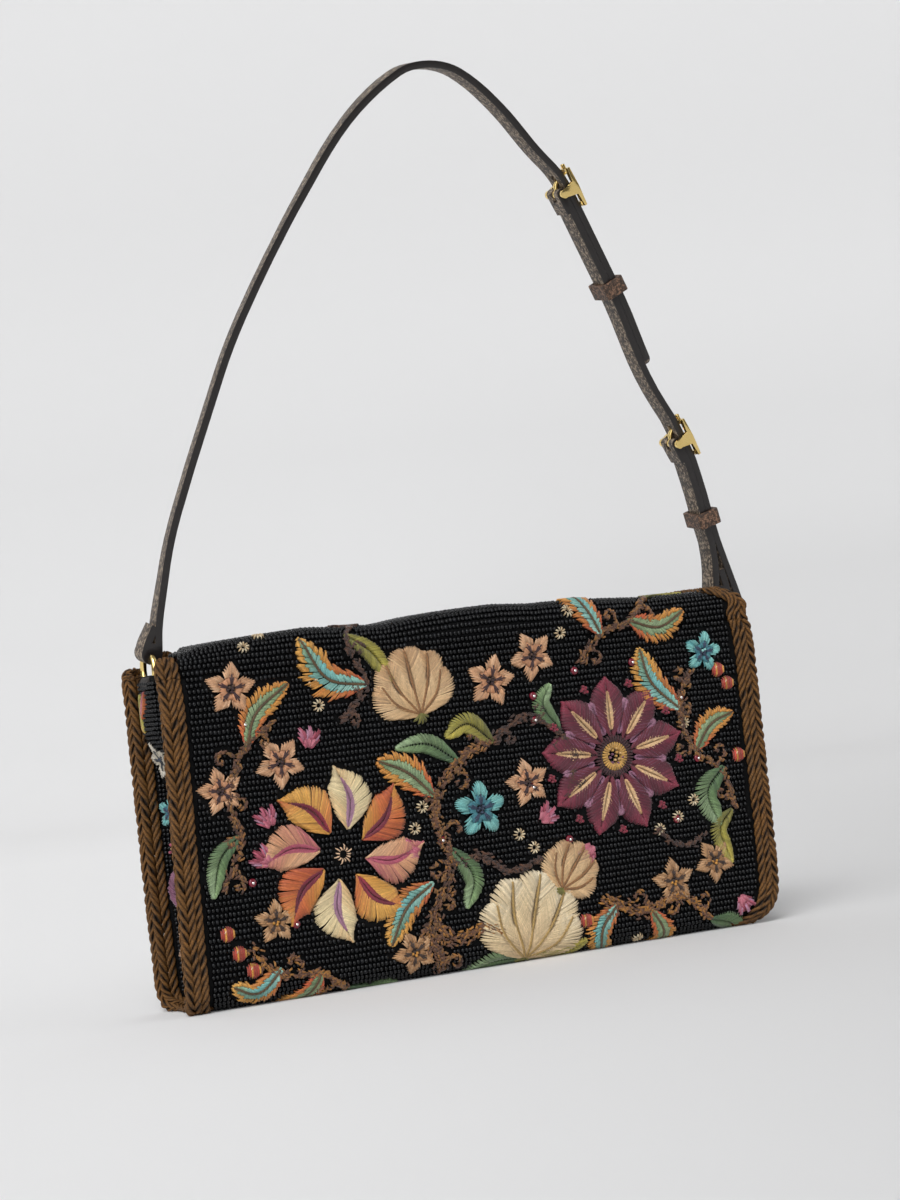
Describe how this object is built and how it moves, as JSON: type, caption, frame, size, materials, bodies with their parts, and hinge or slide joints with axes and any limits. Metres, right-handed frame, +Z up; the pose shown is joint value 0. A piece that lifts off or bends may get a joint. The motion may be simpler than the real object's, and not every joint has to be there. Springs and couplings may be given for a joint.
{
  "type": "baguette bag",
  "caption": "Small long beaded shoulder bag with a folding flap, braided end trims, a magnetic snap and a narrow buckled leather strap on two D-rings.",
  "frame": {"origin": "middle of the underside, where the bag stands", "axes": "+Z up, +X to the right as the back panel is seen, -Y out of the back panel, which is the pictured side"},
  "size_m": [0.2679, 0.0663, 0.3568],
  "materials": {
    "beaded_cloth": "cloth covered with glossy black glass beads",
    "base_board": "grey board",
    "satin": "satin",
    "satin_binding": "smooth folded strip",
    "braid": "flat rope braid",
    "leather": "fine grain with painted edges",
    "keeper_leather": "fine grain",
    "gold_brass": "polished gold plate"
  },
  "bodies": {
    "bag": {"outer_shell": "beaded_cloth", "base_board": "base_board", "lining": "satin", "left_gusset": "beaded_cloth", "right_gusset": "beaded_cloth", "left_trim": "braid", "right_trim": "braid", "front_binding": "satin_binding", "left_ring_tab": "leather", "right_ring_tab": "leather", "left_ring": "gold_brass", "right_ring": "gold_brass", "snap_socket": "gold_brass"},
    "flap_top": {"flap_top_cover": "beaded_cloth", "flap_top_lining": "satin", "flap_top_trim": "braid"},
    "flap_front": {"flap_front_cover": "beaded_cloth", "flap_front_lining": "satin", "flap_front_trim": "braid", "snap_stud": "gold_brass"},
    "strap": {"long_strap": "leather", "middle_strap": "leather", "lower_strap": "leather", "upper_buckle": "gold_brass", "lower_buckle": "gold_brass"},
    "upper_tongue": {"upper_tongue": "gold_brass"},
    "lower_tongue": {"lower_tongue": "gold_brass"},
    "upper_keeper": {"upper_keeper": "keeper_leather"},
    "lower_keeper": {"lower_keeper": "keeper_leather"}
  },
  "joints": [
    {"name": "flap_top_fold", "type": "hinge", "parent": "bag", "child": "flap_top", "pos_m": [0, -0.012, 0.1315], "axis": [1, 0, 0], "range_deg": [0, 25]},
    {"name": "flap_front_fold", "type": "hinge", "parent": "flap_top", "child": "flap_front", "pos_m": [0, 0.0123, 0.1315], "axis": [1, 0, 0], "range_deg": [0, 95]},
    {"name": "strap_swing", "type": "hinge", "parent": "bag", "child": "strap", "pos_m": [0, 0, 0.131], "axis": [1, 0, 0], "range_deg": [-70, 35]},
    {"name": "upper_tongue_lift", "type": "hinge", "parent": "strap", "child": "upper_tongue", "pos_m": [0.05591, -0.03049, 0.30394], "axis": [0, 0.9848, 0.1736], "range_deg": [0, 18]},
    {"name": "lower_tongue_lift", "type": "hinge", "parent": "strap", "child": "lower_tongue", "pos_m": [0.10608, -0.01252, 0.20199], "axis": [0, 0.9848, 0.1736], "range_deg": [0, 18]},
    {"name": "upper_keeper_slide", "type": "slide", "parent": "strap", "child": "upper_keeper", "axis": [0.4586, 0.1543, -0.8751], "range_m": [-0.01, 0.01]},
    {"name": "lower_keeper_slide", "type": "slide", "parent": "strap", "child": "lower_keeper", "axis": [0.2899, 0.1662, -0.9425], "range_m": [-0.006, 0.006]}
  ]
}
